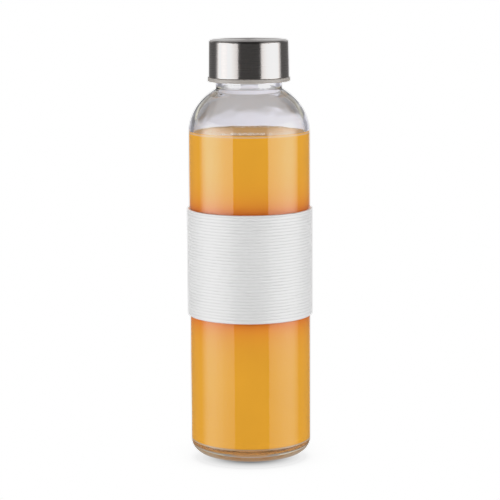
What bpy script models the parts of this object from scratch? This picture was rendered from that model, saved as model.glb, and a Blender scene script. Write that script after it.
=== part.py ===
"""A round glass drinking bottle, filled with orange juice and closed with a steel screw cap.

Metres, +Z up, origin at the middle of the ring that the bottle stands on.
Every piece is turned about the Z axis from an outline of (radius, height) points.
An outline runs so that the piece's outer side is passed from top to bottom.
"""
import math

import bpy

MM = 0.001
TURN_STEPS = 44
CORNER_STEPS = 4
WELD = 0.01 * MM

# Clearance between two pieces that touch on the real bottle.
GAP = 0.3 * MM

# The glass: one straight body, a domed shoulder and a short neck.
BODY_RADIUS = 31.85 * MM
WALL = 2.4 * MM
BASE_THICKNESS = 6.4 * MM
FLOOR_CORNER = 4.5 * MM
FOOT_CORNER = 7.5 * MM
STANDING_RING_INNER = 22.0 * MM
PUNT_HEIGHT = 1.8 * MM
PUNT_STEPS = 3
SHOULDER_START = 170.5 * MM
SHOULDER_RISE = 28.0 * MM
SHOULDER_STEPS = 8
NECK_RADIUS = 17.3 * MM
NECK_WALL = 2.5 * MM
NECK_FILLET = 1.2 * MM
INNER_FILLET = 5.5 * MM
RIM_ROUND = 1.1 * MM

# The juice: its level lies just above the start of the shoulder.
JUICE_LEVEL = 171.4 * MM

# The cap: a thin steel cup pressed over a plastic one, whose foot shows as a ring.
TOTAL_HEIGHT = 219.5 * MM
CAP_FOOT = 200.2 * MM
CAP_TOP_RADIUS = 20.85 * MM
CAP_FOOT_RADIUS = 21.15 * MM
CAP_CORNER = 1.4 * MM
STEEL = 0.5 * MM
LINER_FOOT = 197.9 * MM
LINER_RING_RADIUS = 21.65 * MM
LINER_RING_ROUND = 0.5 * MM
LINER_BORE_RADIUS = 18.0 * MM
LINER_TOP_THICKNESS = 1.5 * MM

# The sleeve: a silicone band with shallow ribs all round.
SLEEVE_FOOT = 74.7 * MM
SLEEVE_TOP = 131.3 * MM
SLEEVE_RADIUS = 33.1 * MM
SLEEVE_FOOT_ROUND = 0.9 * MM
SLEEVE_TOP_ROUND = 0.4 * MM
GROOVE_COUNT = 34
GROOVE_PITCH = 1.62 * MM
GROOVE_DEPTH = 0.22 * MM
FIRST_GROOVE_BELOW_TOP = 0.98 * MM

# Colour, roughness and metallic value of each finish.
GLASS = ((0.86, 0.89, 0.88, 1.0), 0.05, 0.0)
JUICE = ((0.76, 0.33, 0.03, 1.0), 0.35, 0.0)
SILICONE = ((0.80, 0.80, 0.80, 1.0), 0.60, 0.0)
BRUSHED_STEEL = ((0.60, 0.59, 0.57, 1.0), 0.30, 1.0)
LINER_PLASTIC = ((0.46, 0.41, 0.36, 1.0), 0.45, 0.0)

# Heights and radii that follow from the ones above.
LINER_TOP = TOTAL_HEIGHT - STEEL - GAP
RIM_HEIGHT = LINER_TOP - LINER_TOP_THICKNESS - GAP
INNER_RADIUS = BODY_RADIUS - WALL
INNER_NECK_RADIUS = NECK_RADIUS - NECK_WALL


def clear_scene():
    for thing in list(bpy.data.objects):
        bpy.data.objects.remove(thing, do_unlink=True)


def make_collection(name):
    collection = bpy.data.collections.new(name)
    bpy.context.scene.collection.children.link(collection)
    return collection


def make_material(name, finish):
    colour, roughness, metallic = finish
    material = bpy.data.materials.new(name)
    material.use_nodes = True
    shader = material.node_tree.nodes["Principled BSDF"]
    shader.inputs["Base Color"].default_value = colour
    shader.inputs["Roughness"].default_value = roughness
    shader.inputs["Metallic"].default_value = metallic
    material.diffuse_color = colour
    return material


def quarter_ellipse(radius, rise, centre_height, start, end, steps):
    """Points on a quarter ellipse, from angle start to angle end above the horizontal."""
    points = []
    for step in range(steps + 1):
        angle = start + (end - start) * step / steps
        points.append((radius * math.cos(angle), centre_height + rise * math.sin(angle)))
    return points


def rounded_corner(before, corner, after, radius):
    """The arc that rounds one corner of an outline."""
    before_length = math.dist(before, corner)
    after_length = math.dist(after, corner)
    to_before = [(b - c) / before_length for b, c in zip(before, corner)]
    to_after = [(a - c) / after_length for a, c in zip(after, corner)]
    inside_angle = math.acos(to_before[0] * to_after[0] + to_before[1] * to_after[1])
    tangent_length = radius / math.tan(inside_angle / 2)
    middle = [b + a for b, a in zip(to_before, to_after)]
    middle_length = math.hypot(*middle)
    centre_distance = radius / math.sin(inside_angle / 2)
    centre = [c + m / middle_length * centre_distance for c, m in zip(corner, middle)]
    first = [c + t * tangent_length - o for c, t, o in zip(corner, to_before, centre)]
    last = [c + t * tangent_length - o for c, t, o in zip(corner, to_after, centre)]
    sweep = math.pi - inside_angle
    points = []
    for step in range(CORNER_STEPS + 1):
        share = step / CORNER_STEPS
        from_first = math.sin((1 - share) * sweep) / math.sin(sweep)
        from_last = math.sin(share * sweep) / math.sin(sweep)
        points.append(tuple(o + f * from_first + l * from_last for o, f, l in zip(centre, first, last)))
    return points


def round_outline(corners):
    """Outline points from (radius, height) corners, where a third number rounds the corner."""
    outline = []
    for index, corner in enumerate(corners):
        place = corner[:2]
        if len(corner) == 3:
            before = corners[index - 1][:2]
            after = corners[(index + 1) % len(corners)][:2]
            outline += rounded_corner(before, place, after, corner[2])
        else:
            outline.append(place)
    return outline


def turned(name, outline, material, collection, ring=False):
    """One solid of revolution; a ring's outline is a closed loop, any other ends on the axis."""
    edges = [(index, index + 1) for index in range(len(outline) - 1)]
    if ring:
        edges.append((len(outline) - 1, 0))
    mesh = bpy.data.meshes.new(name)
    mesh.from_pydata([(radius, 0.0, height) for radius, height in outline], edges, [])
    mesh.materials.append(material)
    piece = bpy.data.objects.new(name, mesh)
    collection.objects.link(piece)
    screw = piece.modifiers.new("turn", "SCREW")
    screw.axis = "Z"
    screw.angle = math.tau
    screw.steps = TURN_STEPS
    screw.render_steps = TURN_STEPS
    screw.use_merge_vertices = True
    screw.merge_threshold = WELD
    screw.use_smooth_shade = True
    return piece


def glass_outline():
    inner_rise = SHOULDER_RISE - WALL
    inner_end = math.acos(INNER_NECK_RADIUS / INNER_RADIUS)
    outer_end = math.acos(NECK_RADIUS / BODY_RADIUS)
    inner = quarter_ellipse(INNER_RADIUS, inner_rise, SHOULDER_START, 0.0, inner_end, SHOULDER_STEPS)
    outer = quarter_ellipse(BODY_RADIUS, SHOULDER_RISE, SHOULDER_START, outer_end, 0.0, SHOULDER_STEPS)
    punt = []
    for step in range(PUNT_STEPS):
        share = (step + 1) / PUNT_STEPS
        punt.append((STANDING_RING_INNER * (1 - share), PUNT_HEIGHT * math.sin(share * math.pi / 2)))
    corners = [(0.0, BASE_THICKNESS), (INNER_RADIUS, BASE_THICKNESS, FLOOR_CORNER)]
    corners += inner[:-1]
    corners.append((*inner[-1], INNER_FILLET))
    corners += [(INNER_NECK_RADIUS, RIM_HEIGHT, RIM_ROUND), (NECK_RADIUS, RIM_HEIGHT, RIM_ROUND)]
    corners.append((*outer[0], NECK_FILLET))
    corners += outer[1:]
    corners += [(BODY_RADIUS, 0.0, FOOT_CORNER), (STANDING_RING_INNER, 0.0)]
    corners += punt
    return round_outline(corners)


def juice_outline():
    radius = INNER_RADIUS - GAP
    floor = BASE_THICKNESS + GAP
    return round_outline([(0.0, JUICE_LEVEL), (radius, JUICE_LEVEL), (radius, floor, FLOOR_CORNER), (0.0, floor)])


def cap_shell_outline():
    return round_outline([
        (0.0, TOTAL_HEIGHT),
        (CAP_TOP_RADIUS, TOTAL_HEIGHT, CAP_CORNER),
        (CAP_FOOT_RADIUS, CAP_FOOT),
        (CAP_FOOT_RADIUS - STEEL, CAP_FOOT),
        (CAP_TOP_RADIUS - STEEL, TOTAL_HEIGHT - STEEL),
        (0.0, TOTAL_HEIGHT - STEEL),
    ])


def cap_liner_outline():
    ring_top = CAP_FOOT - GAP
    wall_foot = CAP_FOOT_RADIUS - STEEL - GAP
    wall_top = CAP_TOP_RADIUS - STEEL - GAP
    ceiling = LINER_TOP - LINER_TOP_THICKNESS
    return round_outline([
        (0.0, LINER_TOP),
        (wall_top, LINER_TOP),
        (wall_foot, ring_top),
        (LINER_RING_RADIUS, ring_top, LINER_RING_ROUND),
        (LINER_RING_RADIUS, LINER_FOOT, LINER_RING_ROUND),
        (LINER_BORE_RADIUS, LINER_FOOT),
        (LINER_BORE_RADIUS, ceiling),
        (0.0, ceiling),
    ])


def sleeve_outline():
    bore = BODY_RADIUS + GAP
    corners = [(bore, SLEEVE_TOP), (SLEEVE_RADIUS, SLEEVE_TOP, SLEEVE_TOP_ROUND)]
    for groove in range(GROOVE_COUNT):
        height = SLEEVE_TOP - FIRST_GROOVE_BELOW_TOP - groove * GROOVE_PITCH
        corners.append((SLEEVE_RADIUS - GROOVE_DEPTH, height))
        if groove < GROOVE_COUNT - 1:
            corners.append((SLEEVE_RADIUS, height - GROOVE_PITCH / 2))
    last_groove = corners[-1][1]
    corners.append((SLEEVE_RADIUS, last_groove - GROOVE_PITCH / 2))
    corners += [(SLEEVE_RADIUS, SLEEVE_FOOT, SLEEVE_FOOT_ROUND), (bore, SLEEVE_FOOT)]
    return round_outline(corners)


def build():
    clear_scene()
    bottle = make_collection("bottle_of_orange_juice")
    turned("bottle_glass", glass_outline(), make_material("clear_glass", GLASS), bottle)
    turned("juice", juice_outline(), make_material("orange_juice", JUICE), bottle)
    turned("sleeve", sleeve_outline(), make_material("white_silicone", SILICONE), bottle, ring=True)
    turned("cap_shell", cap_shell_outline(), make_material("brushed_steel", BRUSHED_STEEL), bottle)
    turned("cap_liner", cap_liner_outline(), make_material("liner_plastic", LINER_PLASTIC), bottle)


build()
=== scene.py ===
"""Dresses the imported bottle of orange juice: glass, juice with bubbles, sleeve and screw cap.

Metres, +Z up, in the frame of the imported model. Every piece is turned about the Z axis from an
outline of (radius, height) points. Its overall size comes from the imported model's own boxes.
"""
import functools
import math

import bmesh
import bpy
from bpy.props import FloatProperty, FloatVectorProperty, IntProperty, PointerProperty
from mathutils import Matrix, Vector


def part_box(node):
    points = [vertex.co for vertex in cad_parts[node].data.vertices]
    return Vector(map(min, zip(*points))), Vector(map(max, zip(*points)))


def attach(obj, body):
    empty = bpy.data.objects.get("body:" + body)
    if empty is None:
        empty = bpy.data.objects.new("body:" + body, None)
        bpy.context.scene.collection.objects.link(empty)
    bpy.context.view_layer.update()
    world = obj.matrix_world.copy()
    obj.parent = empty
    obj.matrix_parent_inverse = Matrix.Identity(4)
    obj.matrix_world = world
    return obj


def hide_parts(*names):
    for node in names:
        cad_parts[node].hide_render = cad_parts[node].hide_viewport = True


bl_info = {
    "name": "Bottle of orange juice",
    "version": (1, 0, 0),
    "blender": (4, 5, 0),
    "location": "View3D > Sidebar > Bottle",
    "description": "Orange juice bottle with a ribbed sleeve and a steel screw cap",
    "category": "Add Mesh",
}

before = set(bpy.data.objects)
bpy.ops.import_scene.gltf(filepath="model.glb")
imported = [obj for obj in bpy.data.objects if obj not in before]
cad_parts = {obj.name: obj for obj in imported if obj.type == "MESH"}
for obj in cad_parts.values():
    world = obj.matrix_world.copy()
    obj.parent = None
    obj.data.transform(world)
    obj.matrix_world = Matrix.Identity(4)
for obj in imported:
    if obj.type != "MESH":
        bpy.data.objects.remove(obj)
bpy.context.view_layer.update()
GLASS_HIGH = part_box("bottle_glass")[1]
JUICE_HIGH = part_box("juice")[1]
SLEEVE_LOW, SLEEVE_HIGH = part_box("sleeve")
SHELL_LOW, SHELL_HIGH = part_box("cap_shell")
LINER_LOW, LINER_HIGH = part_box("cap_liner")

MM = 0.001
BODY = "root"
WELD = 0.001 * MM
SHARP_ANGLE = math.radians(50)

# Steps round a turned piece, and along a corner, a curve and the punt.
TURN_STEPS = 224
CORNER_STEPS = 10
SLEEVE_CORNER_STEPS = 6
CURVE_STEPS = 44
PUNT_STEPS = 10

# Steps round a flat disc, and rings in it.
DISC_STEPS = 96
DISC_RINGS = 40

# The bubbles: how close they may lie, how far the small ones prevail, and where the raft of froth
# thins out, as a share of its size.
BUBBLE_SPACING = 0.35 * MM
BUBBLE_SKEW = 1.4
RAFT_EDGE = (0.6, 1.15)

# The beads along the wall. From 1, straight ahead, to -1, straight behind, they crowd at both ends,
# and their band starts just off the wall and is wider behind.
AHEAD = (-0.12, -0.99, 0.0)
BEAD_CROWD = (0.8, 0.97)
BEADS_BEHIND = (-0.95, -0.6)
BEAD_START = 0.2 * MM
BEAD_WIDTHS = (4.5 * MM, 1.2 * MM)

# The sleeve's ribs: how full their curve is, up to 1 for a half circle, and rows of points in each.
RIB_ROUNDNESS = 0.92
ROWS_PER_RIB = 8

# The range of most noise values, and how fine the steel's brushing is along and across its lines.
NOISE_RANGE = (0.3, 0.7)
BRUSH_ALONG = 60.0
BRUSH_ACROSS = 9000.0

# The camera, worked out from the traced edges of the bottle in the photograph.
CAMERA_PLACE = Vector((0.05 * MM, -1082.0 * MM, 278.7 * MM))
CAMERA_DOWN = math.radians(8.938)
CAMERA_ROLL = math.radians(-0.35)
FRAME_PIXELS = 500
FOCAL_PIXELS = 2071.1
SENSOR_MM = 36.0

# Brightness that shows as white, and the film's response: light, and what it shows as.
WHITE = 1.5
FILM_CURVE = (
    (0.0, 0.0), (0.76, 0.76), (0.87, 0.825), (1.0, 0.85), (1.25, 0.865), (1.42, 0.94), (1.5, 1.0)
)

# The floor just under the bottle, and the painted shadow in its colour: where it starts from the
# axis, how far and how sharply it fades, how deep it is behind, and how much deeper in front.
FLOOR_RADIUS = 3.0
FLOOR_HEIGHT = -0.0002
SHADOW_START = 0.024
SHADOW_FADE = 0.0081
SHADOW_POWER = 1.36
SHADOW_BEHIND = 0.10
SHADOW_IN_FRONT = 0.78
WHITENS_BETWEEN = (0.82, 0.96)

# Two light panels: their edges' azimuths in degrees, and their brightness across and upwards.
PANEL_DISTANCE = 1.0
PANEL_FOOT = -0.5
PANEL_TOP = 0.6
LEFT_EDGES = (-110.0, -30.5)
RIGHT_EDGES = (35.0, 104.0)
LEFT_ACROSS = (
    (0.0, 0.0), (0.10, 0.12), (0.20, 0.5), (0.30, 0.85), (0.402, 1.0),
    (0.5, 1.0), (0.62, 0.86), (0.737, 0.68), (0.87, 0.6), (1.0, 0.6),
)
RIGHT_ACROSS = (
    (0.0, 0.62), (0.087, 0.67), (0.238, 0.77), (0.37, 0.89), (0.494, 0.97),
    (0.617, 1.0), (0.748, 0.85), (0.897, 0.43), (1.0, 0.1),
)
UPWARDS = ((0.0, 0.3), (0.25, 0.47), (0.33, 0.6), (0.5, 1.0), (0.65, 1.0), (0.85, 0.5), (1.0, 0.2))

# The fill lights: the place of each, and its size.
FRONT_FILL = ((0.25, -1.1, 0.9), (1.2, 1.0))
BACK_FILL = ((0.0, 1.3, 0.7), (2.2, 1.6))

# Where one part of the room turns into the next, from -1 to 1: x to the right, y away from the
# camera and z upwards.
ROOM_Y = (-0.3, 0.5)
SHEET_Y = (0.84, 0.97)
CEILING_Y = (0.55, 0.95)
CEILING_Z = (0.04, 0.3)
NEAR_TABLE_Z = (-0.5, -0.25)
TABLE_LIGHT_Z = (-0.6, -0.3)
TABLE_X = (-0.22, 0.18)
TABLE_SIDE_X = (0.31, 0.50)
TABLE_EDGE_Z = (-0.07, -0.03)
EDGE_LEAN_X = (-0.1, 0.1)
WALL_SIDE_X = (0.06, 0.18)
WARM_Z = (0.1, 0.2)
WARM_SIDE_X = (0.14, 0.28)
GLINT_SIDE_X = (0.30, 0.36)
GLINT_FOOT_Z = (0.08, 0.13)
GLINT_TOP_Z = (0.18, 0.25)
GLINT_X = (-0.3, 0.3)

# Hues of what clear glass shows: the table, the wall, the wall higher up in the middle and at the
# sides, and the glints.
TABLE_HUE = (1.02, 1.0, 1.12)
WALL_HUE = (1.03, 1.0, 1.05)
WARM_HUE = (0.42, 0.25, 0.13)
SIDE_HUE = (0.30, 0.27, 0.23)
GLINT_HUE = (1.0, 0.96, 0.80)
PLAIN_HUE = (1.0, 1.0, 1.0)


def length(name, description, millimetres):
    """A length, with its default given in millimetres."""
    return FloatProperty(
        name=name, description=description, default=millimetres * MM, unit="LENGTH", precision=5
    )


def number(name, description, default, **more):
    return FloatProperty(name=name, description=description, default=default, min=0.0, **more)


def count(name, description, default, least=0):
    return IntProperty(name=name, description=description, default=default, min=least)


def tone(name, description, default):
    return FloatVectorProperty(
        name=name, description=description, default=default,
        subtype="COLOR", size=3, min=0.0, max=1.0,
    )


class GlassSettings(bpy.types.PropertyGroup):
    """Sizes and tint of the glass."""

    body_radius: length("Body radius", "Outer radius of the straight body", GLASS_HIGH.x / MM)
    rim_height: length("Rim height", "Height of the neck's rim inside the cap", GLASS_HIGH.z / MM)
    wall: length("Wall", "Thickness of the body's wall", 2.4)
    neck_radius: length("Neck radius", "Outer radius of the neck", 17.3)
    neck_wall: length("Neck wall", "Thickness of the neck's wall", 2.5)
    neck_fillet: length("Neck fillet", "Outer rounding between neck and shoulder", 1.2)
    inner_fillet: length("Inner fillet", "Inner rounding between neck and shoulder", 5.5)
    rim_round: length("Rim rounding", "Radius of the rim's edges", 1.1)
    shoulder_start: length("Shoulder start", "Height where the shoulder starts", 170.5)
    shoulder_rise: length("Shoulder rise", "Height of its full quarter ellipse", 28.0)
    base_thickness: length("Base thickness", "Height of the glass floor inside", 6.4)
    floor_corner: length("Floor corner", "Rounding inside at the floor", 4.5)
    foot_corner: length("Foot corner", "Rounding of the foot outside", 7.5)
    ring_radius: length("Ring radius", "Inner radius of the ring that it stands on", 22.0)
    ring_round: length("Ring rounding", "Rounding of that ring's inner edge", 0.6)
    punt_height: length("Punt height", "How far the underside is domed in", 1.8)
    tint: tone("Tint", "Colour of what is seen through it", (0.975, 0.985, 0.98))


class JuiceSettings(bpy.types.PropertyGroup):
    """Level, colours and bubbles of the juice."""

    level: length("Level", "Height of the juice's flat surface", JUICE_HIGH.z / MM - 0.25)
    bite: length("Bite", "How far the juice reaches into the glass wall", 0.12)
    meniscus: length("Meniscus", "How far the juice climbs up the wall", 0.7)
    # Golden is the juice in full light; shaded is painted shade, redder, beside the sleeve.
    golden: tone("Golden", "Colour of the juice in full light", (0.83, 0.385, 0.036))
    shaded: tone("Shaded", "Redder colour beside the sleeve", (0.76, 0.19, 0.034))
    shade_reach: length("Shade reach", "How far the redder colour fades out", 7.0)
    surface: tone("Surface", "Colour of the open surface", (0.82, 0.44, 0.14))
    # Rim: a painted highlight, a pale line at the level where the meniscus shines.
    rim: tone("Rim", "Paler line at the level, behind the glass", (0.66, 0.50, 0.38))
    # Climb: a painted highlight on the surface's edge, up the glass.
    climb: tone("Climb", "Pale edge of the surface, up the glass", (0.92, 0.80, 0.66))
    # The underside's colours are painted reflections of it in the heavy base.
    under_dark_reflection: tone("Under, dark", "Darker rings of the underside", (0.42, 0.19, 0.06))
    under_pale_reflection: tone("Under, pale", "Paler rings of the underside", (0.58, 0.44, 0.30))
    reflection_height: length("Under height", "How high the underside's colours reach", 1.6)
    reflection_ring_scale: number("Rings", "Rings of the underside in each metre", 500.0)
    bubble_count: count("Bubbles", "Bubbles, if all were as close as in the raft", 1700)
    raft_across: length("Raft across", "Place of the raft's middle, to the right", -2.5)
    raft_ahead: length("Raft ahead", "Place of the raft's middle, to the front", 13.0)
    raft_length: length("Raft length", "Half the length of the raft", 13.0)
    raft_width: length("Raft width", "Half the width of the raft", 3.6)
    bubble_share: number("Beads at the sides", "Beads there, for each one in front", 0.04)
    bubble_small: length("Smallest bubble", "Radius of the smallest bubbles", 0.3)
    bead_large: number("Largest bead", "How many times the smallest bubble", 2.4)
    bubble_large: length("Largest bubble", "Radius of the largest in the raft", 0.9)
    seed: count("Seed", "Places the bubbles", 7)


class SleeveSettings(bpy.types.PropertyGroup):
    """Ribs and colour of the silicone sleeve."""

    top: length("Top", "Height of the upper edge", SLEEVE_HIGH.z / MM)
    foot: length("Foot", "Height of the lower edge", SLEEVE_LOW.z / MM)
    radius: length("Radius", "Radius over the ribs", SLEEVE_HIGH.x / MM)
    gap: length("Gap", "Distance from the glass", 0.03)
    top_round: length("Top rounding", "Rounding of the upper edge", 0.4)
    foot_round: length("Foot rounding", "Rounding of the lower edge", 0.9)
    inner_round: length("Inner rounding", "Rounding of the inner edges", 0.15)
    groove_count: count("Grooves", "Grooves between the ribs", 34, least=1)
    pitch: length("Pitch", "Distance from groove to groove", 1.62)
    depth: length("Depth", "Depth of a groove", 0.22)
    first_groove: length("First groove", "How far the first is below the top", 0.98)
    groove_shade: number("Groove shade", "Share of light that reaches into a groove", 0.925)
    colour: tone("Colour", "Colour of the silicone", (0.76, 0.76, 0.76))


class CapSettings(bpy.types.PropertyGroup):
    """Sizes and finish of the screw cap."""

    height: length("Height", "Height of the cap's top", SHELL_HIGH.z / MM)
    foot: length("Foot", "Height of the steel's lower edge", SHELL_LOW.z / MM)
    foot_radius: length("Foot radius", "Radius of the steel at its foot", SHELL_HIGH.x / MM)
    top_radius: length("Top radius", "Radius of the steel at its top", 20.85)
    corner: length("Corner", "Rounding of the top edge", 1.4)
    inner_corner: length("Inner corner", "Rounding of the top edge inside", 1.1)
    steel: length("Steel", "Thickness of the steel", 0.5)
    steel_edge: length("Steel edge", "Rounding of the steel's lower edges", 0.12)
    gap: length("Gap", "Distance between steel and liner", 0.1)
    ring_radius: length("Ring radius", "Radius of the liner's ring", LINER_HIGH.x / MM)
    ring_foot: length("Ring foot", "Height of the liner's lower edge", LINER_LOW.z / MM)
    bore_radius: length("Bore radius", "Inner radius of the liner", 18.0)
    liner_top: length("Liner top", "Thickness of the liner's top", 1.7)
    wall_foot_round: length("Wall foot", "Rounding between liner wall and ring", 0.1)
    liner_edge: length("Liner edge", "Rounding of the liner's outer edges", 0.5)
    bore_edge: length("Bore edge", "Rounding of the liner's inner edges", 0.3)
    metal: tone("Metal", "Colour of the steel", (0.57, 0.54, 0.525))
    plastic: tone("Plastic", "Colour of the liner", (0.39, 0.362, 0.335))


class StageSettings(bpy.types.PropertyGroup):
    """Floor and lights."""

    floor: tone("Floor", "Colour of the floor", (1.0, 1.0, 1.0))
    left_power: number("Left light", "Power of the left panel", 24.5, unit="POWER")
    right_power: number("Right light", "Power of the right panel", 18.0, unit="POWER")
    back_power: number("Back light", "Power of the fill light behind", 30.0, unit="POWER")
    front_power: number("Front light", "Power of the fill in front", 6.0, unit="POWER")
    room: number("Room", "Light from the dim room all round", 0.06)
    room_behind: number("Sheet behind", "What gloss shows straight behind", 0.7)
    ceiling: number("Ceiling", "What gloss shows above and behind", 0.8)
    near_table: number("Near table", "What gloss shows of the table close by", 0.35)
    table_light: number("Table light", "Light on matt surfaces from below", 0.9)
    table: number("Table", "What clear glass shows low down", 0.78)
    wall: number("Wall", "What clear glass shows higher up", 0.52)


def rounded_corner(before, corner, after, radius, steps):
    """The arc that rounds one corner of an outline, with a point just outside each of its ends."""
    before_length = math.dist(before, corner)
    after_length = math.dist(after, corner)
    to_before = [(b - c) / before_length for b, c in zip(before, corner)]
    to_after = [(a - c) / after_length for a, c in zip(after, corner)]
    inside_angle = math.acos(to_before[0] * to_after[0] + to_before[1] * to_after[1])
    tangent = radius / math.tan(inside_angle / 2)
    middle = [b + a for b, a in zip(to_before, to_after)]
    off_corner = radius / math.sin(inside_angle / 2) / math.hypot(*middle)
    centre = [c + m * off_corner for c, m in zip(corner, middle)]
    first = [c + t * tangent - o for c, t, o in zip(corner, to_before, centre)]
    last = [c + t * tangent - o for c, t, o in zip(corner, to_after, centre)]
    sweep = math.pi - inside_angle
    step_length = radius * sweep / steps
    points = []

    def add_outside(side, direction):
        if side > tangent + 3 * step_length:
            points.append(tuple(c + d * (tangent + step_length) for c, d in zip(corner, direction)))

    add_outside(before_length, to_before)
    for step in range(steps + 1):
        share = step / steps
        from_first = math.sin((1 - share) * sweep) / math.sin(sweep)
        from_last = math.sin(share * sweep) / math.sin(sweep)
        arc = zip(centre, first, last)
        points.append(tuple(o + f * from_first + l * from_last for o, f, l in arc))
    add_outside(after_length, to_after)
    return points


def round_outline(corners, steps=CORNER_STEPS):
    """Outline points from (radius, height) corners, where a third number rounds the corner."""
    outline = []
    for index, corner in enumerate(corners):
        place = corner[:2]
        if len(corner) == 3:
            before = corners[index - 1][:2]
            after = corners[(index + 1) % len(corners)][:2]
            outline += rounded_corner(before, place, after, corner[2], steps)
        else:
            outline.append(place)
    return outline


def add_object(name, data):
    thing = bpy.data.objects.new(name, data)
    bpy.context.scene.collection.objects.link(thing)
    return thing


def turned(name, outline, *materials, ring=False):
    """An object turned about Z from an outline that ends on the axis, or from a closed ring."""
    sketch = bmesh.new()
    points = [sketch.verts.new((radius, 0.0, height)) for radius, height in outline]
    pairs = list(zip(points, points[1:]))
    if ring:
        pairs.append((points[-1], points[0]))
    edges = [sketch.edges.new(pair) for pair in pairs]
    bmesh.ops.spin(
        sketch, geom=points + edges, cent=(0, 0, 0), axis=(0, 0, 1), dvec=(0, 0, 0),
        angle=math.tau, steps=TURN_STEPS,
    )
    bmesh.ops.remove_doubles(sketch, verts=sketch.verts, dist=WELD)
    bmesh.ops.recalc_face_normals(sketch, faces=sketch.faces)
    mesh = bpy.data.meshes.new(name)
    sketch.to_mesh(mesh)
    sketch.free()
    mesh.shade_smooth()
    mesh.set_sharp_from_angle(angle=SHARP_ANGLE)
    for material in materials:
        mesh.materials.append(material)
    return add_object(name, mesh)


def settle(piece, node):
    """Hands a finished piece to the frame: it rides on the one body, and may stand for a node."""
    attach(piece, BODY)
    if node:
        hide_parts(node)


def add(tree, kind, inputs=(), **settings):
    """A node with its settings and with values or links for the named or numbered inputs."""
    node = tree.nodes.new(kind)
    for name, value in settings.items():
        setattr(node, name, value)
    for key, value in dict(inputs).items():
        socket = node.inputs[key]
        if isinstance(value, bpy.types.NodeSocket):
            tree.links.new(value, socket)
        else:
            socket.default_value = (*value, 1.0) if socket.type == "RGBA" else value
    return node


def maths(operation, *values, clamp=False):
    """The result of a math node. Here and below, one of the values comes from another node."""
    tree = next(value.id_data for value in values if isinstance(value, bpy.types.NodeSocket))
    inputs = dict(enumerate(values))
    node = add(tree, "ShaderNodeMath", inputs, operation=operation, use_clamp=clamp)
    return node.outputs[0]


minus, times, divide, larger, absolute = (
    functools.partial(maths, operation)
    for operation in ("SUBTRACT", "MULTIPLY", "DIVIDE", "MAXIMUM", "ABSOLUTE")
)


def vectors(operation, vector, other=None):
    """A vector operation. SCALE takes a number, and LENGTH and DOT_PRODUCT give one."""
    inputs = {0: vector}
    if other is not None:
        inputs["Scale" if operation == "SCALE" else 1] = other
    node = add(vector.id_data, "ShaderNodeVectorMath", inputs, operation=operation)
    return node.outputs["Value" if operation in ("LENGTH", "DOT_PRODUCT") else 0]


def smooth(value, between, results=(0.0, 1.0), kind="SMOOTHSTEP"):
    """A smooth change from the first result to the second one, between two values."""
    inputs = {0: value, 1: between[0], 2: between[1], 3: results[0], 4: results[1]}
    return add(value.id_data, "ShaderNodeMapRange", inputs, interpolation_type=kind).outputs[0]


def even(value, between, results):
    """The same as smooth(), but even all the way."""
    return smooth(value, between, results, "LINEAR")


def mix(share, first, second):
    return add(share.id_data, "ShaderNodeMix", {0: share, 2: first, 3: second}).outputs[0]


def blend(share, first, second):
    """A mix of two colours."""
    inputs = {0: share, 6: first, 7: second}
    return add(share.id_data, "ShaderNodeMix", inputs, data_type="RGBA").outputs[2]


def split(vector):
    """The x, y and z of a vector, by those names."""
    return add(vector.id_data, "ShaderNodeSeparateXYZ", {0: vector}).outputs


def object_place(tree):
    """The x, y and z of a point in object coordinates."""
    return split(tree.nodes.new("ShaderNodeTexCoord").outputs["Object"])


def off_axis(place):
    """The vector from the Z axis to a place, and its length."""
    inputs = {0: place["X"], 1: place["Y"]}
    flat = add(place["X"].id_data, "ShaderNodeCombineXYZ", inputs).outputs[0]
    return flat, vectors("LENGTH", flat)


def bump(height, strength, distance):
    inputs = {"Strength": strength, "Distance": distance, "Height": height}
    return add(height.id_data, "ShaderNodeBump", inputs).outputs["Normal"]


def new_group(name, kind, inputs, outputs):
    """A node group with inputs and outputs named by kind, and the sockets of its group nodes."""
    tree = bpy.data.node_groups.new(name, kind)
    for way, sockets in (("INPUT", inputs), ("OUTPUT", outputs)):
        for kind, labels in sockets.items():
            for label in labels:
                tree.interface.new_socket(label, in_out=way, socket_type="NodeSocket" + kind)
    return tree, tree.nodes.new("NodeGroupInput").outputs, tree.nodes.new("NodeGroupOutput").inputs


def grain_group():
    """Shader group: a surface's fine grain as a height, and slow mottling as a mask."""
    found = bpy.data.node_groups.get("surface_grain")
    if found:
        return found
    inputs = {"Vector": ("Vector",), "Float": ("Grain Scale", "Mottle Scale", "Detail")}
    outputs = {"Float": ("Height", "Mottle")}
    group, source, target = new_group("surface_grain", "ShaderNodeTree", inputs, outputs)
    layers = (("Height", "Grain Scale", source["Detail"]), ("Mottle", "Mottle Scale", 2.0))
    for name, scale, detail in layers:
        inputs = {"Vector": source["Vector"], "Scale": source[scale], "Detail": detail}
        noise = add(group, "ShaderNodeTexNoise", inputs)
        group.links.new(noise.outputs["Fac"], target[name])
    return group


def add_grain(tree, grain_scale, mottle_scale, detail=3.0):
    """The outputs of the grain group, on object coordinates."""
    inputs = {
        "Vector": tree.nodes.new("ShaderNodeTexCoord").outputs["Object"],
        "Grain Scale": grain_scale,
        "Mottle Scale": mottle_scale,
        "Detail": detail,
    }
    return add(tree, "ShaderNodeGroup", inputs, node_tree=grain_group()).outputs


def tinted(mask, colour, spread):
    """A colour that is a little darker and lighter by a mask."""
    dark = [channel * (1 - spread) for channel in colour]
    light = [min(1.0, channel * (1 + spread)) for channel in colour]
    return blend(mask, dark, light)


def empty_tree(owner):
    """The node tree of a material, light or world, with nothing in it."""
    owner.use_nodes = True
    owner.node_tree.nodes.clear()
    return owner.node_tree


def new_material(name):
    material = bpy.data.materials.new(name)
    return material, empty_tree(material)


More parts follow.
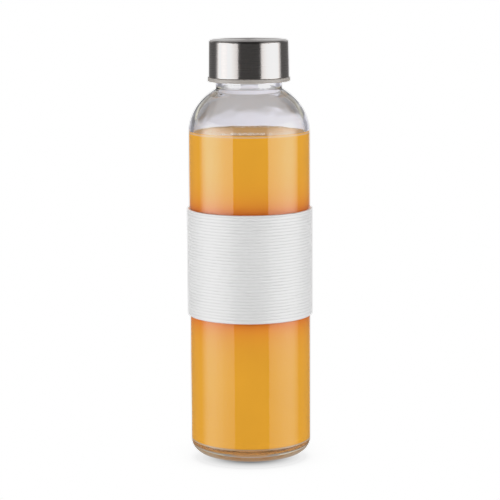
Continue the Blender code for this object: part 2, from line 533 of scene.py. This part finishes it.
def show(tree, shader, kind="Material"):
    """Links a shader to the output of a material, world or light."""
    output = tree.nodes.new("ShaderNodeOutput" + kind)
    tree.links.new(shader.outputs[0], output.inputs[0])


def show_principled(tree, values):
    show(tree, add(tree, "ShaderNodeBsdfPrincipled", values))


def glass_material(glass):
    """Clear glass: even in the body, and a little wavy in the shoulder, as blown glass is.

    The camera and reflections see the glass, and light from lamps and matt surfaces passes it.
    """
    material, tree = new_material("clear_glass")
    mottle = add_grain(tree, 90.0, 50.0, 1.0)["Mottle"]
    shoulder = (glass.shoulder_start, glass.shoulder_start + 0.2 * glass.shoulder_rise)
    waves = smooth(object_place(tree)["Z"], shoulder, (0.04, 0.6))
    shader = add(tree, "ShaderNodeBsdfPrincipled", {
        "Base Color": glass.tint,
        "Roughness": 0.0,
        "IOR": 1.5,
        "Transmission Weight": 1.0,
        "Normal": bump(mottle, waves, 0.6 * MM),
    })
    path = tree.nodes.new("ShaderNodeLightPath").outputs
    clear = add(tree, "ShaderNodeBsdfTransparent", {"Color": (0.95, 0.96, 0.955)})
    either = larger(path["Is Shadow Ray"], path["Is Diffuse Ray"])
    inputs = {0: either, 1: shader.outputs[0], 2: clear.outputs[0]}
    show(tree, add(tree, "ShaderNodeMixShader", inputs))
    return material


def underside_colour(juice, place):
    """Painted reflections of the base's glass: brown and pale rings, paler away from the middle."""
    radius = off_axis(place)[1]
    inputs = {"W": radius, "Scale": juice.reflection_ring_scale, "Detail": 2.0}
    noise = add(radius.id_data, "ShaderNodeTexNoise", inputs, noise_dimensions="1D")
    ring = smooth(noise.outputs["Fac"], (0.4, 0.6), (0.0, 0.5))
    off_middle = smooth(absolute(place["X"]), (5.0 * MM, 22.0 * MM), (0.0, 0.5))
    return blend(maths("ADD", ring, off_middle), juice.under_dark_reflection, juice.under_pale_reflection)


def juice_colour(tree, juice, sleeve, floor):
    """Golden, with a painted highlight line at the level and painted reflections at the floor.

    It has painted shade beside the sleeve: redder, as the sleeve keeps light out and only red
    light spreads that far. What mirrors in the glass of the base has the painted reflections too.
    """
    place = object_place(tree)
    height = place["Z"]
    # Painted shade: redder towards the sleeve, which keeps light out.
    off_sleeve = larger(minus(height, sleeve.top), minus(sleeve.foot, height))
    shade = maths("EXPONENT", divide(larger(off_sleeve, 0.0), -juice.shade_reach))
    with_painted_shade = blend(shade, juice.golden, juice.shaded)
    cloud = maths("MULTIPLY_ADD", add_grain(tree, 700.0, 45.0)["Mottle"], 0.10, 0.95)
    # Painted highlight: a pale line at the level, where the meniscus shines through the glass.
    line = smooth(absolute(minus(height, juice.level)), (0.15 * MM, 0.55 * MM), (0.7, 0.0))
    with_painted_line = blend(line, vectors("SCALE", with_painted_shade, cloud), juice.rim)
    # Painted reflections: the underside's rings near the floor, and in what the base's glass
    # mirrors.
    lowest = (floor + 0.6 * juice.reflection_height, floor + juice.reflection_height)
    under = smooth(height, lowest, (1.0, 0.0))
    glossy_depth = tree.nodes.new("ShaderNodeLightPath").outputs["Glossy Depth"]
    near_base = smooth(height, (floor + 20.0 * MM, floor + 60.0 * MM), (1.0, 0.0))
    base_reflection_share = times(maths("MINIMUM", glossy_depth, 1.0), near_base)
    return blend(larger(under, base_reflection_share), with_painted_line, underside_colour(juice, place))


def juice_material(juice, sleeve, floor):
    """The juice where it lies against glass, which takes the gloss off it."""
    material, tree = new_material("orange_juice")
    colour = juice_colour(tree, juice, sleeve, floor)
    show_principled(tree, {"Base Color": colour, "Roughness": 0.6, "Specular IOR Level": 0.0})
    return material


def juice_surface_material(juice):
    """The juice's open surface: wet, with a slight swell, and a painted highlight up the glass."""
    material, tree = new_material("juice_surface")
    # Painted highlight: a pale edge where the surface climbs the glass.
    climb = (juice.level + 0.02 * MM, juice.level + 0.4 * MM)
    edge = smooth(object_place(tree)["Z"], climb, (0.0, 0.9))
    mottle = add_grain(tree, 500.0, 120.0)["Mottle"]
    wet = tinted(mottle, juice.surface, 0.12)
    show_principled(tree, {
        "Base Color": blend(edge, wet, juice.climb),
        "Roughness": 0.35,
        "Specular IOR Level": 0.12,
        "Normal": bump(mottle, 0.25, 0.3 * MM),
    })
    return material


def bubble_material(juice):
    """Bubbles on the juice: thin wet domes, paler than the juice, with gloss and a painted glow."""
    material, tree = new_material("juice_bubbles")
    mottle = add_grain(tree, 900.0, 300.0)["Mottle"]
    pale = [0.66 + 0.34 * channel for channel in juice.surface]
    show_principled(tree, {
        "Base Color": tinted(mottle, pale, 0.10),
        "Roughness": 0.12,
        "Specular IOR Level": 0.4,
        # A painted glow: the bubbles give off a little light of their own, as if lit brighter.
        "Emission Color": (1.0, 0.66, 0.5),
        "Emission Strength": 0.15,
    })
    return material


def silicone_material(sleeve):
    """White silicone: matt, with a fine moulded grain, and painted shade in the grooves."""
    material, tree = new_material("white_silicone")
    # Painted shade: the colour is darker in each groove, where less light reaches.
    below = minus(sleeve.top - sleeve.first_groove, object_place(tree)["Z"])
    wave = maths("COSINE", times(below, math.tau / sleeve.pitch))
    groove = even(wave, (-1.0, 1.0), (1.0, sleeve.groove_shade))
    grain = add_grain(tree, 3200.0, 30.0)
    show_principled(tree, {
        "Base Color": vectors("SCALE", tinted(grain["Mottle"], sleeve.colour, 0.012), groove),
        "Roughness": even(grain["Mottle"], NOISE_RANGE, (0.42, 0.50)),
        "IOR": 1.75,
        "Sheen Weight": 0.3,
        "Sheen Roughness": 0.4,
        "Specular IOR Level": 0.9,
        "Subsurface Weight": 0.15,
        "Subsurface Scale": 0.8 * MM,
        "Subsurface Radius": (1.0, 1.0, 1.0),
        "Normal": bump(grain["Height"], 0.15, 0.05 * MM),
    })
    return material


def brushed_steel_material(cap):
    """Steel brushed in rings: fine lines round the side and round the top."""
    material, tree = new_material("brushed_steel")
    place = object_place(tree)
    across = minus(place["Z"], off_axis(place)[1])
    stretched = add(tree, "ShaderNodeCombineXYZ", {
        0: times(place["X"], BRUSH_ALONG),
        1: times(place["Y"], BRUSH_ALONG),
        2: times(across, BRUSH_ACROSS),
    })
    inputs = {"Vector": stretched.outputs[0], "Scale": 1.0, "Detail": 4.0}
    streaks = add(tree, "ShaderNodeTexNoise", inputs).outputs["Fac"]
    show_principled(tree, {
        "Base Color": tinted(streaks, cap.metal, 0.06),
        "Metallic": 1.0,
        "Roughness": even(streaks, NOISE_RANGE, (0.26, 0.32)),
        "Anisotropic": 1.0,
        "Anisotropic Rotation": 0.25,
        "Normal": bump(streaks, 0.07, 0.02 * MM),
    })
    return material


def liner_material(cap):
    """Grey-white plastic of the inner cap: satin, and a little milky."""
    material, tree = new_material("liner_plastic")
    grain = add_grain(tree, 1500.0, 80.0)
    show_principled(tree, {
        "Base Color": tinted(grain["Mottle"], cap.plastic, 0.05),
        "Roughness": even(grain["Mottle"], NOISE_RANGE, (0.34, 0.46)),
        "Subsurface Weight": 0.3,
        "Subsurface Scale": 1.0 * MM,
        "Subsurface Radius": (1.0, 0.9, 0.8),
        "Normal": bump(grain["Height"], 0.1, 0.05 * MM),
    })
    return material


def shoulder_curve(glass, radius, rise, neck_radius):
    """One side of the shoulder's glass: a part of an ellipse, from the body up to the neck."""
    end = math.acos(neck_radius / radius)
    points = []
    for step in range(CURVE_STEPS + 1):
        angle = end * step / CURVE_STEPS
        points.append((radius * math.cos(angle), glass.shoulder_start + rise * math.sin(angle)))
    return points


def glass_corners(glass):
    """From the middle of the floor up the inside, over the rim, down outside and under the base."""
    inner_radius = glass.body_radius - glass.wall
    inner_neck = glass.neck_radius - glass.neck_wall
    inner = shoulder_curve(glass, inner_radius, glass.shoulder_rise - glass.wall, inner_neck)
    outer = shoulder_curve(glass, glass.body_radius, glass.shoulder_rise, glass.neck_radius)
    outer.reverse()
    floor = glass.base_thickness
    corners = [(0.0, floor), (inner_radius, floor, glass.floor_corner)]
    corners += [point for point in inner if math.dist(point, inner[-1]) > glass.inner_fillet]
    corners += [
        (*inner[-1], glass.inner_fillet),
        (inner_neck, glass.rim_height, glass.rim_round),
        (glass.neck_radius, glass.rim_height, glass.rim_round),
        (*outer[0], glass.neck_fillet),
    ]
    corners += [point for point in outer if math.dist(point, outer[0]) > glass.neck_fillet]
    corners.append((glass.body_radius, 0.0, glass.foot_corner))
    corners.append((glass.ring_radius, 0.0, glass.ring_round))
    for step in range(PUNT_STEPS):
        share = (step + 1) / PUNT_STEPS
        height = glass.punt_height * math.sin(share * math.pi / 2)
        corners.append((glass.ring_radius * (1 - share), height))
    return corners


class BOTTLE_OT_glass(bpy.types.Operator):
    """Turn the clear glass bottle."""

    bl_idname = "bottle.glass"
    bl_label = "Glass"

    def execute(self, context):
        glass = context.scene.bottle_glass
        outline = round_outline(glass_corners(glass))
        piece = turned("glass_shell", outline, glass_material(glass))
        settle(piece, "bottle_glass")
        return {"FINISHED"}


def meniscus(level, climb, wall_radius):
    """The curve by which the juice climbs the wall, from the flat surface outwards."""
    points = []
    for step in range(CORNER_STEPS + 1):
        angle = math.pi / 2 * step / CORNER_STEPS
        radius = wall_radius - climb * (1 - math.sin(angle))
        points.append((radius, level + climb * (1 - math.cos(angle))))
    return points


class BOTTLE_OT_juice(bpy.types.Operator):
    """Fill the bottle with juice up to its level."""

    bl_idname = "bottle.juice"
    bl_label = "Juice"

    def execute(self, context):
        glass = context.scene.bottle_glass
        juice = context.scene.bottle_juice
        sleeve = context.scene.bottle_sleeve
        radius = glass.body_radius - glass.wall + juice.bite
        floor = glass.base_thickness - juice.bite
        surface = meniscus(juice.level, juice.meniscus, radius)
        side = round_outline([surface[-1], (radius, floor, glass.floor_corner), (0.0, floor)])
        outline = [(0.0, juice.level), *surface, *side[1:]]
        materials = juice_material(juice, sleeve, floor), juice_surface_material(juice)
        piece = turned("orange_juice", outline, *materials)
        for face in piece.data.polygons:
            if face.center.z > juice.level - WELD:
                face.material_index = 1
        settle(piece, "juice")
        return {"FINISHED"}


def new_geometry_tree(name, inputs):
    """A geometry node group that takes a geometry, a material and the inputs named by kind."""
    inputs = {"Geometry": ("Geometry",), "Material": ("Material",), **inputs}
    return new_group(name, "GeometryNodeTree", inputs, {"Geometry": ("Geometry",)})


def finish_tree(tree, geometry, source, target):
    """Ends a tree: instances made real, and the material set."""
    real = add(tree, "GeometryNodeRealizeInstances", {0: geometry})
    inputs = {"Geometry": real.outputs[0], "Material": source["Material"]}
    painted = add(tree, "GeometryNodeSetMaterial", inputs)
    tree.links.new(painted.outputs[0], target[0])


def run_tree(piece, tree, values):
    """Runs a tree on an object, and leaves the result as its plain mesh."""
    modifier = piece.modifiers.new(tree.name, "NODES")
    modifier.node_group = tree
    for item in tree.interface.items_tree:
        if item.in_out == "INPUT" and item.name in values:
            modifier[item.identifier] = values[item.name]
    graph = bpy.context.evaluated_depsgraph_get()
    mesh = bpy.data.meshes.new_from_object(piece.evaluated_get(graph), depsgraph=graph)
    piece.modifiers.clear()
    old = piece.data
    piece.data = mesh
    bpy.data.meshes.remove(old)
    mesh.name = piece.name
    mesh.shade_smooth()
    mesh.set_sharp_from_angle(angle=SHARP_ANGLE)


def bubble_density(source, position):
    """How close the bubbles lie: a mask of the raft, and the mask of raft and beads together."""
    offset = vectors("SUBTRACT", position, source["Raft Place"])
    away = vectors("LENGTH", vectors("DIVIDE", offset, source["Raft Size"]))
    raft = smooth(away, RAFT_EDGE, (1.0, 0.0))
    flat, radius = off_axis(split(position))
    ahead = vectors("DOT_PRODUCT", vectors("NORMALIZE", flat), AHEAD)
    width = smooth(ahead, BEADS_BEHIND, BEAD_WIDTHS)
    at_wall = smooth(minus(source["Wall Radius"], radius), (BEAD_START, width), (1.0, 0.0))
    crowd = smooth(absolute(ahead), BEAD_CROWD, (source["Elsewhere"], 1.0))
    return raft, larger(raft, times(at_wall, crowd))


def bubble_tree():
    """Bubbles on the faces that come in: a raft of froth, and small beads along the wall."""
    sizes = "Density", "Wall Radius", "Elsewhere", "Smallest", "Largest Bead", "Largest"
    inputs = {"Float": sizes, "Vector": ("Raft Place", "Raft Size"), "Int": ("Seed",)}
    tree, source, target = new_geometry_tree("bubbles_on_juice", inputs)
    position = tree.nodes.new("GeometryNodeInputPosition").outputs[0]
    raft, density = bubble_density(source, position)
    inputs = {
        "Mesh": source["Geometry"],
        "Distance Min": BUBBLE_SPACING,
        "Density Max": source["Density"],
        "Density Factor": density,
        "Seed": source["Seed"],
    }
    scatter = "GeometryNodeDistributePointsOnFaces"
    points = add(tree, scatter, inputs, distribute_method="POISSON").outputs["Points"]
    size = add(tree, "FunctionNodeRandomValue", {"Seed": source["Seed"]}, data_type="FLOAT")
    share = maths("POWER", size.outputs[1], BUBBLE_SKEW)
    largest = mix(raft, source["Largest Bead"], source["Largest"])
    spread = even(share, (0.0, 1.0), (source["Smallest"], largest))
    ball = add(tree, "GeometryNodeMeshIcoSphere", {"Radius": 1.0, "Subdivisions": 2})
    inputs = {"Points": points, "Instance": ball.outputs["Mesh"], "Scale": spread}
    scattered = add(tree, "GeometryNodeInstanceOnPoints", inputs)
    finish_tree(tree, scattered.outputs[0], source, target)
    return tree


def flat_disc(name, radius, height):
    """A flat disc whose faces come in a fixed order, so that a scatter on it is always the same."""
    points = [(0.0, 0.0, height)]
    faces = [(0, 1 + step, 1 + (step + 1) % DISC_STEPS) for step in range(DISC_STEPS)]
    for ring in range(DISC_RINGS):
        away = radius * (ring + 1) / DISC_RINGS
        inner = 1 + (ring - 1) * DISC_STEPS
        outer = inner + DISC_STEPS
        for step in range(DISC_STEPS):
            angle = math.tau * step / DISC_STEPS
            points.append((away * math.cos(angle), away * math.sin(angle), height))
            if ring > 0:
                after = (step + 1) % DISC_STEPS
                faces.append((inner + step, outer + step, outer + after, inner + after))
    mesh = bpy.data.meshes.new(name)
    mesh.from_pydata(points, [], faces)
    return add_object(name, mesh)


class BOTTLE_OT_bubbles(bpy.types.Operator):
    """Scatter the bubbles on the juice: a raft of froth, and beads along the glass."""

    bl_idname = "bottle.bubbles"
    bl_label = "Bubbles"

    def execute(self, context):
        glass = context.scene.bottle_glass
        juice = context.scene.bottle_juice
        outer = glass.body_radius - glass.wall - juice.meniscus
        piece = flat_disc("juice_bubbles", outer, juice.level)
        values = {
            "Density": juice.bubble_count / (math.pi * outer * outer),
            "Raft Place": (juice.raft_across, -juice.raft_ahead, juice.level),
            "Raft Size": (juice.raft_length, juice.raft_width, 1.0),
            "Wall Radius": outer,
            "Elsewhere": juice.bubble_share,
            "Smallest": juice.bubble_small,
            "Largest Bead": juice.bubble_small * juice.bead_large,
            "Largest": juice.bubble_large,
            "Seed": juice.seed,
            "Material": bubble_material(juice),
        }
        run_tree(piece, bubble_tree(), values)
        settle(piece, None)
        return {"FINISHED"}


def rib_tree():
    """Presses evenly spaced grooves into the outer side of a turned band."""
    sizes = "First Groove Height", "Pitch", "Groove Count", "Depth", "Inner Radius"
    tree, source, target = new_geometry_tree("sleeve_ribs", {"Float": sizes})
    place = split(tree.nodes.new("GeometryNodeInputPosition").outputs[0])
    flat, radius = off_axis(place)
    pitches = divide(minus(source["First Groove Height"], place["Z"]), source["Pitch"])
    last = minus(source["Groove Count"], 1.0)
    groove = larger(maths("MINIMUM", maths("ROUND", pitches), last), 0.0)
    off_centre = absolute(minus(pitches, groove))
    near = minus(1.0, times(off_centre, 2.0), clamp=True)
    lean = times(near, RIB_ROUNDNESS)
    arc = maths("SQRT", minus(1.0, times(lean, lean)))
    full_drop = 1 - math.sqrt(1 - RIB_ROUNDNESS**2)
    drop = divide(minus(1.0, arc), full_drop)
    outside = maths("GREATER_THAN", radius, source["Inner Radius"])
    depth = times(times(drop, source["Depth"]), outside)
    offset = vectors("SCALE", flat, divide(times(depth, -1.0), radius))
    inputs = {"Geometry": source["Geometry"], "Offset": offset}
    moved = add(tree, "GeometryNodeSetPosition", inputs)
    finish_tree(tree, moved.outputs[0], source, target)
    return tree


def sleeve_corners(sleeve, bore):
    """A plain band with rows of points on its outer side, as many as the ribs need."""
    inner_round = sleeve.inner_round
    corners = [(bore, sleeve.top, inner_round), (sleeve.radius, sleeve.top, sleeve.top_round)]
    first = sleeve.top - sleeve.first_groove
    rows = (sleeve.groove_count - 1) * ROWS_PER_RIB + ROWS_PER_RIB // 2
    for row in range(rows + 1):
        corners.append((sleeve.radius, first - row * sleeve.pitch / ROWS_PER_RIB))
    corners.append((sleeve.radius, sleeve.foot, sleeve.foot_round))
    corners.append((bore, sleeve.foot, inner_round))
    return corners


class BOTTLE_OT_sleeve(bpy.types.Operator):
    """Make the ribbed silicone sleeve."""

    bl_idname = "bottle.sleeve"
    bl_label = "Sleeve"

    def execute(self, context):
        sleeve = context.scene.bottle_sleeve
        bore = context.scene.bottle_glass.body_radius + sleeve.gap
        corners = sleeve_corners(sleeve, bore)
        piece = turned("silicone_sleeve", round_outline(corners, SLEEVE_CORNER_STEPS), ring=True)
        values = {
            "First Groove Height": sleeve.top - sleeve.first_groove,
            "Pitch": sleeve.pitch,
            "Groove Count": float(sleeve.groove_count),
            "Depth": sleeve.depth,
            "Inner Radius": (bore + sleeve.radius) / 2,
            "Material": silicone_material(sleeve),
        }
        run_tree(piece, rib_tree(), values)
        settle(piece, "sleeve")
        return {"FINISHED"}


def shell_outline(cap):
    """The steel cup: down its outer side from the middle of the top, and up its inner side."""
    inner_top = cap.height - cap.steel
    return round_outline([
        (0.0, cap.height),
        (cap.top_radius, cap.height, cap.corner),
        (cap.foot_radius, cap.foot, cap.steel_edge),
        (cap.foot_radius - cap.steel, cap.foot, cap.steel_edge),
        (cap.top_radius - cap.steel, inner_top, cap.inner_corner),
        (0.0, inner_top),
    ])


def liner_outline(cap):
    """The plastic cup inside the steel, with the ring that shows below it."""
    ring_top = cap.foot - cap.gap
    wall_foot = cap.foot_radius - cap.steel - cap.gap
    wall_top = cap.top_radius - cap.steel - cap.gap
    top = cap.height - cap.steel - cap.gap
    ceiling = top - cap.liner_top
    return round_outline([
        (0.0, top),
        (wall_top, top, cap.liner_edge),
        (wall_foot, ring_top, cap.wall_foot_round),
        (cap.ring_radius, ring_top, cap.liner_edge),
        (cap.ring_radius, cap.ring_foot, cap.liner_edge),
        (cap.bore_radius, cap.ring_foot, cap.bore_edge),
        (cap.bore_radius, ceiling, cap.bore_edge),
        (0.0, ceiling),
    ])


class BOTTLE_OT_cap(bpy.types.Operator):
    """Make the screw cap: its steel shell and its plastic liner."""

    bl_idname = "bottle.cap"
    bl_label = "Cap"

    def execute(self, context):
        cap = context.scene.bottle_cap
        shell = turned("steel_shell", shell_outline(cap), brushed_steel_material(cap))
        settle(shell, "cap_shell")
        liner = turned("plastic_liner", liner_outline(cap), liner_material(cap))
        settle(liner, "cap_liner")
        return {"FINISHED"}


def ramp(value, stops):
    """A value looked up between (position, value) stops."""
    node = add(value.id_data, "ShaderNodeValToRGB", {0: value})
    line = node.color_ramp
    while len(line.elements) < len(stops):
        line.elements.new(0.5)
    for element, (position, height) in zip(line.elements, stops):
        element.position = position
        element.color = (height, height, height, 1.0)
    return node.outputs["Color"]


def area_light(name, power, size, place, facing):
    """A soft light of a width and height that faces one way, unseen by the camera."""
    light = bpy.data.lights.new(name, "AREA")
    light.shape = "RECTANGLE"
    light.size, light.size_y = size
    light.energy = power
    lamp = add_object(name, light)
    lamp.location = place
    lamp.rotation_euler = facing.to_track_quat("-Z", "Y").to_euler()
    hide_from(lamp, "camera")
    return lamp


def hide_from(thing, *rays):
    for kind in rays:
        setattr(thing, "visible_" + kind, False)


def add_panel(name, power, edges, across):
    """A soft light panel that faces the bottle, between two azimuths in degrees.

    Azimuth 0 is the camera's side, positive to the right. The stops of across say how bright the
    panel is from its first edge to its second one.
    """
    width = 2 * PANEL_DISTANCE * math.tan(math.radians(edges[1] - edges[0]) / 2)
    angle = math.radians(edges[0] + edges[1]) / 2
    away = Vector((math.sin(angle), -math.cos(angle), 0.0))
    place = away * PANEL_DISTANCE + Vector((0.0, 0.0, (PANEL_FOOT + PANEL_TOP) / 2))
    panel = area_light(name, power, (width, PANEL_TOP - PANEL_FOOT), place, -away)
    tree = empty_tree(panel.data)
    spot = split(tree.nodes.new("ShaderNodeNewGeometry").outputs["Parametric"])
    strength = times(ramp(spot["X"], across), ramp(spot["Y"], UPWARDS))
    show(tree, add(tree, "ShaderNodeEmission", {"Strength": strength}), "Light")


def add_fill(name, power, place, size):
    """A wide soft light that faces the bottle and lights it without showing in gloss or glass."""
    fill = area_light(name, power, size, place, Vector((0.0, 0.0, 0.1)) - Vector(place))
    hide_from(fill, "glossy", "transmission")


def room_in_gloss(stage, y, z):
    """What gloss shows: a dim room, a pale sheet behind, a ceiling, and the table close by."""
    dim = smooth(y, ROOM_Y, (0.3 * stage.room, 2.3 * stage.room))
    sheet = smooth(y, SHEET_Y, (dim, stage.room_behind))
    ceiling = times(smooth(z, CEILING_Z, (0.0, stage.ceiling)), smooth(y, CEILING_Y))
    close_by = smooth(z, NEAR_TABLE_Z, (stage.near_table, 0.0))
    return larger(larger(sheet, ceiling), close_by)


def room_through_glass(stage, x, z):
    """Level and hue of what clear glass shows: a table, a wall behind it, and a glint at each side.

    The table's far edge leans up to both sides, and the wall gets browner higher up.
    """
    sideways = absolute(x)
    lit_table = smooth(x, TABLE_X, (stage.table - 0.15, stage.table + 0.15))
    table = times(lit_table, smooth(sideways, TABLE_SIDE_X, (1.0, 0.45)))
    wall = smooth(sideways, WALL_SIDE_X, (stage.wall, stage.wall * 0.5))
    lean = times(sideways, smooth(x, EDGE_LEAN_X, (0.08, 0.26)))
    height = smooth(minus(z, lean), TABLE_EDGE_Z)
    steep = smooth(z, WARM_Z)
    level = mix(steep, mix(height, table, wall), 1.0)
    off_middle = smooth(sideways, WARM_SIDE_X)
    cool = blend(height, TABLE_HUE, WALL_HUE)
    hue = blend(steep, cool, blend(off_middle, WARM_HUE, SIDE_HUE))
    over = smooth(z, GLINT_FOOT_Z)
    under = smooth(z, GLINT_TOP_Z, (1.0, 0.0))
    glint = times(times(over, under), smooth(sideways, GLINT_SIDE_X))
    glint_level = smooth(x, GLINT_X, (0.75, 0.55))
    return mix(glint, level, glint_level), blend(glint, hue, GLINT_HUE)


def make_world(stage):
    """White to the camera, a room to gloss and clear glass, and light from the table to matt."""
    world = bpy.data.worlds.new("studio")
    bpy.context.scene.world = world
    tree = empty_tree(world)
    x, y, z = split(tree.nodes.new("ShaderNodeTexCoord").outputs["Generated"])
    path = tree.nodes.new("ShaderNodeLightPath").outputs
    through = path["Is Transmission Ray"]
    glass_level, glass_hue = room_through_glass(stage, x, z)
    below = smooth(z, TABLE_LIGHT_Z, (stage.table_light, stage.room))
    gloss = room_in_gloss(stage, y, z)
    room = mix(through, mix(path["Is Diffuse Ray"], gloss, below), glass_level)
    strength = mix(path["Is Camera Ray"], room, WHITE)
    hue = blend(through, PLAIN_HUE, glass_hue)
    light = add(tree, "ShaderNodeBackground", {"Color": hue, "Strength": strength})
    show(tree, light, "World")


def make_floor(colour):
    """A pale glowing floor with a painted shadow round the bottle's foot, white further out."""
    floor = flat_disc("floor", FLOOR_RADIUS, FLOOR_HEIGHT)
    material, tree = new_material("floor")
    floor.data.materials.append(material)
    place = object_place(tree)
    away = off_axis(place)[1]
    # Painted shadow: darkest at the foot, fading outwards, and deeper in front.
    front = larger(times(divide(place["Y"], away), -1.0), 0.0)
    depth = maths("MULTIPLY_ADD", times(front, front), SHADOW_IN_FRONT, SHADOW_BEHIND)
    beyond = larger(minus(away, SHADOW_START), 0.0)
    faded = maths("POWER", divide(beyond, SHADOW_FADE), SHADOW_POWER)
    shown = minus(1.0, times(depth, maths("EXPONENT", times(faded, -1.0))))
    lift = smooth(shown, WHITENS_BETWEEN, (0.0, WHITE - 1.0))
    inputs = {"Color": colour, "Strength": maths("ADD", shown, lift)}
    show(tree, add(tree, "ShaderNodeEmission", inputs))
    hide_from(floor, "glossy", "transmission", "diffuse", "shadow")


def set_film():
    """Blender's plain view, with the soft shoulder that a photograph has in its bright parts."""
    view = bpy.context.scene.view_settings
    view.view_transform = "Standard"
    view.use_curve_mapping = True
    mapping = view.curve_mapping
    mapping.white_level = (WHITE, WHITE, WHITE)
    mapping.extend = "HORIZONTAL"
    points = mapping.curves[3].points
    while len(points) < len(FILM_CURVE):
        points.new(0.5, 0.5)
    for point, (light, shown) in zip(points, FILM_CURVE):
        point.location = (light / WHITE, shown)
        point.handle_type = "VECTOR"
    mapping.update()


def make_camera():
    """The camera from whose place the bottle's outlines match the photograph."""
    data = bpy.data.cameras.new("camera")
    data.sensor_fit = "HORIZONTAL"
    data.sensor_width = SENSOR_MM
    data.lens = FOCAL_PIXELS / FRAME_PIXELS * SENSOR_MM
    data.clip_start = 0.05
    data.clip_end = 20.0
    camera = add_object("camera", data)
    turn = Matrix.Rotation(math.pi / 2 - CAMERA_DOWN, 4, "X") @ Matrix.Rotation(CAMERA_ROLL, 4, "Z")
    camera.matrix_world = Matrix.Translation(CAMERA_PLACE) @ turn
    bpy.context.scene.camera = camera


class BOTTLE_OT_stage(bpy.types.Operator):
    """Set up the pale floor, the two tall panels, the fills, the room's light and the camera."""

    bl_idname = "bottle.stage"
    bl_label = "Stage"

    def execute(self, context):
        stage = context.scene.bottle_stage
        set_film()
        make_world(stage)
        make_floor(stage.floor)
        add_fill("front_fill", stage.front_power, *FRONT_FILL)
        add_fill("back_fill", stage.back_power, *BACK_FILL)
        add_panel("left_panel", stage.left_power, LEFT_EDGES, LEFT_ACROSS)
        add_panel("right_panel", stage.right_power, RIGHT_EDGES, RIGHT_ACROSS)
        make_camera()
        return {"FINISHED"}


class BOTTLE_PT_panel(bpy.types.Panel):
    """The bottle's settings and the buttons that make its pieces."""

    bl_label = "Bottle"
    bl_space_type = "VIEW_3D"
    bl_region_type = "UI"
    bl_category = "Bottle"

    def draw(self, context):
        for name, settings, operators in PARTS:
            box = self.layout.box()
            box.label(text=name)
            for key in getattr(bpy.types, settings.__name__).__annotations__:
                box.prop(getattr(context.scene, "bottle_" + name.lower()), key)
            for operator in operators:
                box.operator(operator.bl_idname)


PARTS = (
    ("Glass", GlassSettings, (BOTTLE_OT_glass,)),
    ("Juice", JuiceSettings, (BOTTLE_OT_juice, BOTTLE_OT_bubbles)),
    ("Sleeve", SleeveSettings, (BOTTLE_OT_sleeve,)),
    ("Cap", CapSettings, (BOTTLE_OT_cap,)),
    ("Stage", StageSettings, (BOTTLE_OT_stage,)),
)


def register():
    for name, settings, operators in PARTS:
        bpy.utils.register_class(settings)
        setattr(bpy.types.Scene, "bottle_" + name.lower(), PointerProperty(type=settings))
        for operator in operators:
            bpy.utils.register_class(operator)
    bpy.utils.register_class(BOTTLE_PT_panel)


def unregister():
    bpy.utils.unregister_class(BOTTLE_PT_panel)
    for name, settings, operators in reversed(PARTS):
        for operator in operators:
            bpy.utils.unregister_class(operator)
        delattr(bpy.types.Scene, "bottle_" + name.lower())
        bpy.utils.unregister_class(settings)


def main():
    register()
    bpy.ops.bottle.stage()
    bpy.ops.bottle.glass()
    bpy.ops.bottle.juice()
    bpy.ops.bottle.bubbles()
    bpy.ops.bottle.sleeve()
    bpy.ops.bottle.cap()


if __name__ == "__main__":
    main()
